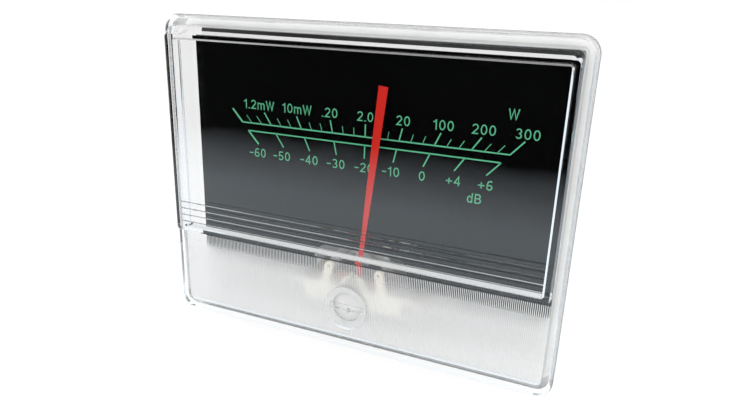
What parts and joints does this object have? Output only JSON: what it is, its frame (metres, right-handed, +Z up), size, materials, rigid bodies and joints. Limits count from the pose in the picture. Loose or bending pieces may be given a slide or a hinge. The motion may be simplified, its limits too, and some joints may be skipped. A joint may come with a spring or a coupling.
{
  "type": "analog vu meter",
  "caption": "Rectangular panel meter with a clear moulded cover, a black dial, a red pointer on a moving-coil movement and a screw-slot zero adjuster below the dial.",
  "frame": {"origin": "centre of the cover's rim, in the plane of the rim's front face, which bears on the back of a panel", "axes": "+X to the right of someone reading the dial, +Z up the dial, +Y into the meter towards its terminals"},
  "size_m": [0.09, 0.0439, 0.07],
  "materials": {
    "clear_plastic": "clear, polished",
    "dial_black": "satin",
    "pointer_red": "matt red lacquer",
    "white_plastic": "fine grain",
    "lamp_plastic": "moulded",
    "black_screw": "blackened",
    "sleeve_rubber": "matt",
    "aluminium": "satin",
    "brass": "turned",
    "tinned_brass": "tinned",
    "bronze": "polished",
    "copper": "enamelled",
    "magnet": "ground",
    "steel": "zinc plated",
    "nickel": "nickel plated",
    "bulb_glass": "clear"
  },
  "bodies": {
    "meter": {"front_cover": "clear_plastic", "dial_plate": "dial_black", "dial_screws": "black_screw", "stop_pins": "steel", "stop_sleeves": "sleeve_rubber", "front_bearing": "brass", "front_bridge": "white_plastic", "front_bridge_screws": "steel", "front_posts": "brass", "core_magnet": "magnet", "core_supports": "aluminium", "yoke_ring": "steel", "movement_frame": "white_plastic", "movement_screws": "steel", "rear_posts": "brass", "rear_bridge": "aluminium", "rear_bridge_screws": "steel", "rear_bearing_screw": "brass", "rear_lock_nut": "brass", "rear_hairspring": "bronze", "rear_spring_tag": "brass", "strap_left": "copper", "strap_right": "copper", "rear_housing": "white_plastic", "terminal_studs": "nickel", "terminal_washers": "nickel", "terminal_nuts": "nickel", "solder_lugs": "tinned_brass", "lug_nuts": "nickel", "mounting_studs": "steel", "lamp_holders": "lamp_plastic", "lamp_bulbs": "bulb_glass", "lamp_caps": "brass", "lamp_contacts": "tinned_brass"},
    "moving_coil": {"pointer": "pointer_red", "balance_cross": "brass", "balance_weights": "brass", "coil_hubs": "aluminium", "coil_pivots": "steel", "coil_former": "aluminium", "coil_winding": "copper"},
    "zero_lever": {"zero_lever": "brass", "front_hairspring": "bronze"},
    "zero_adjuster": {"zero_adjuster": "clear_plastic", "adjuster_ring": "steel"}
  },
  "joints": [
    {"name": "pointer_swing", "type": "hinge", "parent": "meter", "child": "moving_coil", "pos_m": [0, 0.0065, -0.02205], "axis": [0, 1, 0], "range_deg": [-49.7, 37.9], "stiffness_Nm_per_rad": 0.00002},
    {"name": "zero_adjust", "type": "hinge", "parent": "meter", "child": "zero_adjuster", "pos_m": [0, 0, -0.0251], "axis": [0, 1, 0], "range_deg": [-30, 30]},
    {"name": "zero_lever_swing", "type": "hinge", "parent": "meter", "child": "zero_lever", "pos_m": [0, 0.00395, -0.02205], "axis": [0, 1, 0], "range_deg": [-9, 9]}
  ],
  "couplings": [
    {"joint": "zero_lever_swing", "follows": "zero_adjust", "ratio": 0.28235}
  ]
}
